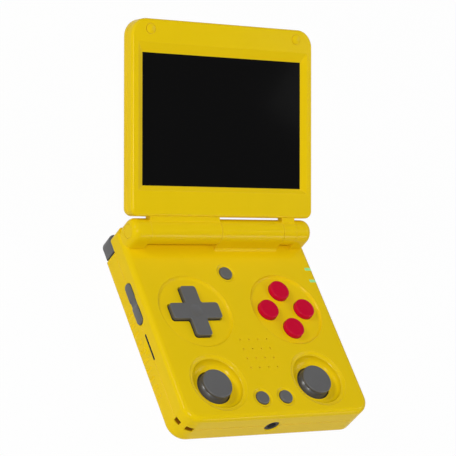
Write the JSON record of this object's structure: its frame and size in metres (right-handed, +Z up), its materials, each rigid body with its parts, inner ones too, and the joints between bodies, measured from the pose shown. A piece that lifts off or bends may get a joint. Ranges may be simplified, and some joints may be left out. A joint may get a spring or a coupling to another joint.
{
  "type": "clamshell handheld game console",
  "caption": "Folding handheld game console with a hinged screen lid, a D-pad, round face buttons, sunk thumbsticks and shoulder buttons.",
  "frame": {"origin": "centre of the base's flat underside", "axes": "+X to the player's right, +Y towards the hinge, +Z up out of the base's top face; the lid is stored 145.3 degrees open"},
  "size_m": [0.0888, 0.1523, 0.0706],
  "materials": {
    "yellow_shell": "satin moulded plastic",
    "grey_plastic": "matt moulded plastic",
    "red_button": "semi-gloss moulded plastic",
    "dark_plastic": "matt moulded plastic",
    "silicone": "matt silicone",
    "circuit_board": "coated board",
    "steel": "plain steel",
    "screen_glass": "polished dark glass",
    "display_panel": "smooth dark panel",
    "flex_cable": "thin film",
    "light_pipe": "clear tinted light guide"
  },
  "bodies": {
    "base": {"base_top_shell": "yellow_shell", "base_bottom_shell": "yellow_shell", "hinge_barrel": "yellow_shell", "main_board": "circuit_board", "battery": "dark_plastic", "speaker": "dark_plastic", "face_membrane": "silicone", "dpad_membrane": "silicone", "small_membranes": "silicone", "dpad_post": "dark_plastic", "jack_socket": "dark_plastic", "charging_socket": "steel", "video_socket": "steel", "left_card_reader": "steel", "right_card_reader": "steel", "side_switches": "steel", "status_light_pipes": "light_pipe", "hinge_caps": "yellow_shell", "left_hinge_pin": "steel", "friction_hinge": "steel", "display_flex_base": "flex_cable", "base_screws": "steel", "shoulder_pins": "steel", "rocker_pin": "steel", "left_stick_housing": "dark_plastic", "right_stick_housing": "dark_plastic"},
    "lid": {"lid_bezel": "yellow_shell", "lid_outer_shell": "yellow_shell", "screen_glass": "screen_glass", "display_panel": "display_panel", "display_flex_lid": "flex_cable", "lid_bumpers": "yellow_shell", "lid_screws": "steel"},
    "dpad_pivot": {"dpad_pivot_ball": "steel"},
    "dpad": {"dpad": "grey_plastic"},
    "north_button": {"north_button": "red_button"},
    "east_button": {"east_button": "red_button"},
    "south_button": {"south_button": "red_button"},
    "west_button": {"west_button": "red_button"},
    "select_button": {"select_button": "grey_plastic"},
    "start_button": {"start_button": "grey_plastic"},
    "menu_button": {"menu_button": "grey_plastic"},
    "volume_rocker": {"volume_rocker": "grey_plastic"},
    "power_button": {"power_button": "grey_plastic"},
    "reset_button": {"reset_button": "grey_plastic"},
    "left_shoulder": {"left_shoulder": "grey_plastic"},
    "right_shoulder": {"right_shoulder": "grey_plastic"},
    "left_trigger": {"left_trigger": "grey_plastic"},
    "right_trigger": {"right_trigger": "grey_plastic"},
    "left_stick_cradle": {"left_stick_cradle": "steel"},
    "left_stick_yoke": {"left_stick_yoke": "dark_plastic"},
    "left_stick": {"left_stick_lever": "steel", "left_stick_cap": "grey_plastic"},
    "right_stick_cradle": {"right_stick_cradle": "steel"},
    "right_stick_yoke": {"right_stick_yoke": "dark_plastic"},
    "right_stick": {"right_stick_lever": "steel", "right_stick_cap": "grey_plastic"}
  },
  "joints": [
    {"name": "lid_hinge", "type": "hinge", "parent": "base", "child": "lid", "pos_m": [0, 0.03877, 0.02049], "axis": [-1, 0, 0], "range_deg": [-145.3, 9.7]},
    {"name": "dpad_rock_x", "type": "hinge", "parent": "base", "child": "dpad_pivot", "pos_m": [-0.02195, 0.0045, 0.0107], "axis": [1, 0, 0], "range_deg": [-3.5, 3.5], "stiffness_Nm_per_rad": 0.06},
    {"name": "dpad_rock_y", "type": "hinge", "parent": "dpad_pivot", "child": "dpad", "pos_m": [-0.02195, 0.0045, 0.0107], "axis": [0, 1, 0], "range_deg": [-3.5, 3.5], "stiffness_Nm_per_rad": 0.06},
    {"name": "north_button_press", "type": "slide", "parent": "base", "child": "north_button", "axis": [0, 0, -1], "range_m": [0, 0.0009], "stiffness_N_per_m": 300, "springref_m": -0.0005},
    {"name": "east_button_press", "type": "slide", "parent": "base", "child": "east_button", "axis": [0, 0, -1], "range_m": [0, 0.0009], "stiffness_N_per_m": 300, "springref_m": -0.0005},
    {"name": "south_button_press", "type": "slide", "parent": "base", "child": "south_button", "axis": [0, 0, -1], "range_m": [0, 0.0009], "stiffness_N_per_m": 300, "springref_m": -0.0005},
    {"name": "west_button_press", "type": "slide", "parent": "base", "child": "west_button", "axis": [0, 0, -1], "range_m": [0, 0.0009], "stiffness_N_per_m": 300, "springref_m": -0.0005},
    {"name": "select_button_press", "type": "slide", "parent": "base", "child": "select_button", "axis": [0, 0, -1], "range_m": [0, 0.0006], "stiffness_N_per_m": 300, "springref_m": -0.0005},
    {"name": "start_button_press", "type": "slide", "parent": "base", "child": "start_button", "axis": [0, 0, -1], "range_m": [0, 0.0006], "stiffness_N_per_m": 300, "springref_m": -0.0005},
    {"name": "menu_button_press", "type": "slide", "parent": "base", "child": "menu_button", "axis": [0, 0, -1], "range_m": [0, 0.0006], "stiffness_N_per_m": 300, "springref_m": -0.0005},
    {"name": "volume_rock", "type": "hinge", "parent": "base", "child": "volume_rocker", "pos_m": [-0.04075, 0.0124, 0.009], "axis": [0, 0, 1], "range_deg": [-3.2, 3.2], "stiffness_Nm_per_rad": 0.08},
    {"name": "power_button_press", "type": "slide", "parent": "base", "child": "power_button", "axis": [-1, 0, 0], "range_m": [0, 0.0005], "stiffness_N_per_m": 600, "springref_m": -0.0005},
    {"name": "reset_button_press", "type": "slide", "parent": "base", "child": "reset_button", "axis": [-1, 0, 0], "range_m": [0, 0.0005], "stiffness_N_per_m": 600, "springref_m": -0.0005},
    {"name": "left_shoulder_press", "type": "hinge", "parent": "base", "child": "left_shoulder", "pos_m": [-0.02915, 0.03922, 0.00475], "axis": [0, 0, 1], "range_deg": [0, 3.1], "stiffness_Nm_per_rad": 0.3, "springref_deg": -2.86},
    {"name": "right_shoulder_press", "type": "hinge", "parent": "base", "child": "right_shoulder", "pos_m": [0.02915, 0.03922, 0.00475], "axis": [0, 0, -1], "range_deg": [0, 3.1], "stiffness_Nm_per_rad": 0.3, "springref_deg": -2.86},
    {"name": "left_trigger_press", "type": "hinge", "parent": "base", "child": "left_trigger", "pos_m": [-0.0149, 0.03922, 0.00475], "axis": [0, 0, 1], "range_deg": [0, 3.7], "stiffness_Nm_per_rad": 0.3, "springref_deg": -2.86},
    {"name": "right_trigger_press", "type": "hinge", "parent": "base", "child": "right_trigger", "pos_m": [0.0149, 0.03922, 0.00475], "axis": [0, 0, -1], "range_deg": [0, 3.7], "stiffness_Nm_per_rad": 0.3, "springref_deg": -2.86},
    {"name": "left_stick_press", "type": "slide", "parent": "base", "child": "left_stick_cradle", "axis": [0, 0, -1], "range_m": [0, 0.0005], "stiffness_N_per_m": 2000, "springref_m": -0.0003},
    {"name": "left_stick_tilt_y", "type": "hinge", "parent": "left_stick_cradle", "child": "left_stick_yoke", "pos_m": [-0.02385, -0.02785, 0.0081], "axis": [1, 0, 0], "range_deg": [-10, 10], "stiffness_Nm_per_rad": 0.02},
    {"name": "left_stick_tilt_x", "type": "hinge", "parent": "left_stick_yoke", "child": "left_stick", "pos_m": [-0.02385, -0.02785, 0.0081], "axis": [0, 1, 0], "range_deg": [-10, 10], "stiffness_Nm_per_rad": 0.02},
    {"name": "right_stick_press", "type": "slide", "parent": "base", "child": "right_stick_cradle", "axis": [0, 0, -1], "range_m": [0, 0.0005], "stiffness_N_per_m": 2000, "springref_m": -0.0003},
    {"name": "right_stick_tilt_y", "type": "hinge", "parent": "right_stick_cradle", "child": "right_stick_yoke", "pos_m": [0.02385, -0.02785, 0.0081], "axis": [1, 0, 0], "range_deg": [-10, 10], "stiffness_Nm_per_rad": 0.02},
    {"name": "right_stick_tilt_x", "type": "hinge", "parent": "right_stick_yoke", "child": "right_stick", "pos_m": [0.02385, -0.02785, 0.0081], "axis": [0, 1, 0], "range_deg": [-10, 10], "stiffness_Nm_per_rad": 0.02}
  ]
}
